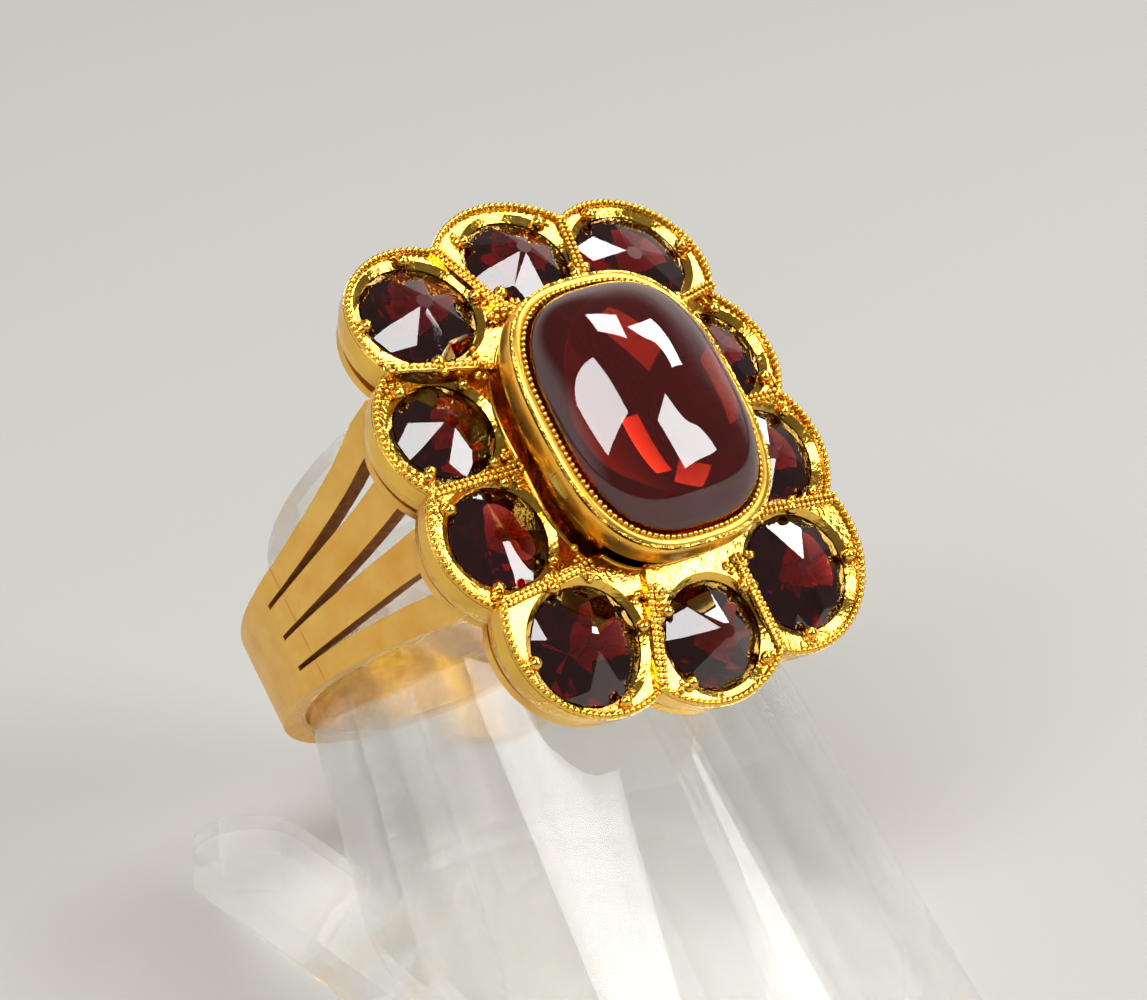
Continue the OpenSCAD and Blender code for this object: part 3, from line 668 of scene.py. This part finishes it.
acrylic, tree, output = material("clear_cast_acrylic")
place = add(tree, "ShaderNodeTexCoord")
scuffs = add(tree, "ShaderNodeTexNoise", {
    "Vector": place.outputs["Object"], "Scale": 160.0, "Detail": 6.0, "Roughness": 0.7})
haze = add(tree, "ShaderNodeMapRange", {
    "Value": scuffs.outputs["Fac"], "From Min": 0.5, "From Max": 0.8, "To Min": 0.03, "To Max": 0.12})
clear = add(tree, "ShaderNodeBsdfPrincipled", {
    "Base Color": linear("#FDFEFE"), "Roughness": haze.outputs["Result"], "IOR": 1.49,
    "Transmission Weight": 1.0})
straight = add(tree, "ShaderNodeBsdfTransparent", {"Color": linear("#FCFCFB")})
both = add(tree, "ShaderNodeMixShader", {"Fac": 0.5, 1: clear.outputs["BSDF"], 2: straight.outputs["BSDF"]})
tree.links.new(both.outputs["Shader"], output.inputs["Surface"])
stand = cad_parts["ring_stand"]
stand.data.materials.clear()
stand.data.materials.append(acrylic)
stand.visible_shadow = False


# The studio: a pale paper floor that runs back out of view, four softboxes
# and the camera at the photograph's angle.

# In metres: the floor's side, the gap that keeps it clear of the stand's foot, and how far
# the lamps stand from the ring
FLOOR_SIZE, FLOOR_GAP = 6, 0.00002
LAMP_DISTANCE = 0.5
floor_paper, tree, output = material("matt_paper_floor")
place = add(tree, "ShaderNodeTexCoord")
fibre = add(tree, "ShaderNodeTexNoise", {
    "Vector": place.outputs["Object"], "Scale": 6.0, "Detail": 3.0, "Roughness": 0.5})
paper = add(tree, "ShaderNodeMix", {
    "Factor": fibre.outputs["Fac"], "A": linear("#AFADA9"), "B": linear("#B3B1AD")}, data_type="RGBA")
matt = add(tree, "ShaderNodeBsdfPrincipled", {
    "Base Color": paper.outputs["Result"], "Roughness": 0.9, "Specular IOR Level": 0.2})
tree.links.new(matt.outputs["BSDF"], output.inputs["Surface"])
bpy.ops.mesh.primitive_plane_add(size=FLOOR_SIZE, location=(0, 0, -FLOOR_GAP))
floor = bpy.context.object
floor.name = "paper_floor"
floor.data.materials.append(floor_paper)

AIM = RING @ Vector((0, 0, 4))


def softbox(name, azimuth, elevation, long_side, short_side, roll, radiance):
    """A rectangular light. Azimuth 0 is +Y and 90 is +X; the sides are in units of the distance."""
    a, e = math.radians(azimuth), math.radians(elevation)
    out = Vector((math.sin(a) * math.cos(e), math.cos(a) * math.cos(e), math.sin(e)))
    level = Vector((0, 0, 1)).cross(out).normalized()
    rise = out.cross(level)
    side = level * math.cos(math.radians(roll)) + rise * math.sin(math.radians(roll))
    data = bpy.data.lights.new(name, "AREA")
    data.shape = "RECTANGLE"
    data.size, data.size_y = long_side * LAMP_DISTANCE, short_side * LAMP_DISTANCE
    data.energy = 4 * data.size * data.size_y * radiance
    lamp = bpy.data.objects.new(name, data)
    bpy.context.scene.collection.objects.link(lamp)
    turn = Matrix((side, out.cross(side), out)).transposed().to_4x4()
    lamp.matrix_world = Matrix.Translation(AIM + out * LAMP_DISTANCE) @ turn
    lamp.visible_camera = False


softbox("softbox_front_left", -120, 50.4, 0.86, 0.34, 57.5, 7)
softbox("softbox_front_right", 146, 34.7, 0.60, 0.30, 95.5, 8)
softbox("softbox_back_high", 67.5, 66.4, 0.32, 0.28, 139.5, 9)
softbox("softbox_back_right", 94, 49.3, 0.38, 0.17, 27, 12)

world = bpy.data.worlds.new("studio")
bpy.context.scene.world = world
world.use_nodes = True
tree = world.node_tree
tree.nodes.clear()
output = tree.nodes.new("ShaderNodeOutputWorld")
# The room is pale up to 25 degrees above level and grows dim from there to 43
way = add(tree, "ShaderNodeTexCoord")
parts = add(tree, "ShaderNodeSeparateXYZ", {"Vector": way.outputs["Generated"]})
low = add(tree, "ShaderNodeMapRange", {
    "Value": parts.outputs["Z"], "From Min": 0.68, "From Max": 0.42, "To Min": 0.0, "To Max": 1.0})
# The pale backdrop stands behind the ring and round its left side
behind = add(tree, "ShaderNodeVectorMath", {
    0: way.outputs["Generated"], 1: (-0.1, 1.0, 0.0)}, operation="DOT_PRODUCT")
toward = add(tree, "ShaderNodeMapRange", {
    "Value": behind.outputs["Value"], "From Min": -0.25, "From Max": 0.25, "To Min": 0.0, "To Max": 1.0})
sweep = add(tree, "ShaderNodeMath", {
    0: low.outputs["Result"], 1: toward.outputs["Result"]}, operation="MULTIPLY")
level = add(tree, "ShaderNodeMapRange", {
    "Value": sweep.outputs["Value"], "From Min": 0.0, "From Max": 1.0, "To Min": 0.16, "To Max": 0.95})
room = add(tree, "ShaderNodeBackground", {"Color": linear("#F6F3EE"), "Strength": level.outputs["Result"]})
seen = add(tree, "ShaderNodeBackground", {"Color": linear("#D8D6D2"), "Strength": 1.0})
rays = add(tree, "ShaderNodeLightPath")
both = add(tree, "ShaderNodeMixShader", {
    "Fac": rays.outputs["Is Camera Ray"], 1: room.outputs["Background"], 2: seen.outputs["Background"]})
tree.links.new(both.outputs["Shader"], output.inputs["Surface"])

camera_data = bpy.data.cameras.new("camera")
camera_data.lens = 122.2
camera_data.sensor_width = 36
camera_data.sensor_fit = "HORIZONTAL"
camera_data.clip_start = 0.005
camera = bpy.data.objects.new("camera", camera_data)
bpy.context.scene.collection.objects.link(camera)
camera.location = (-0.0845, -0.10624, 0.07973)
camera.rotation_euler = (math.radians(66.58), 0, math.radians(-37.05))
bpy.context.scene.camera = camera

bpy.context.scene.view_settings.view_transform = "Standard"
bpy.context.scene.view_settings.look = "None"

bpy.context.view_layer.update()
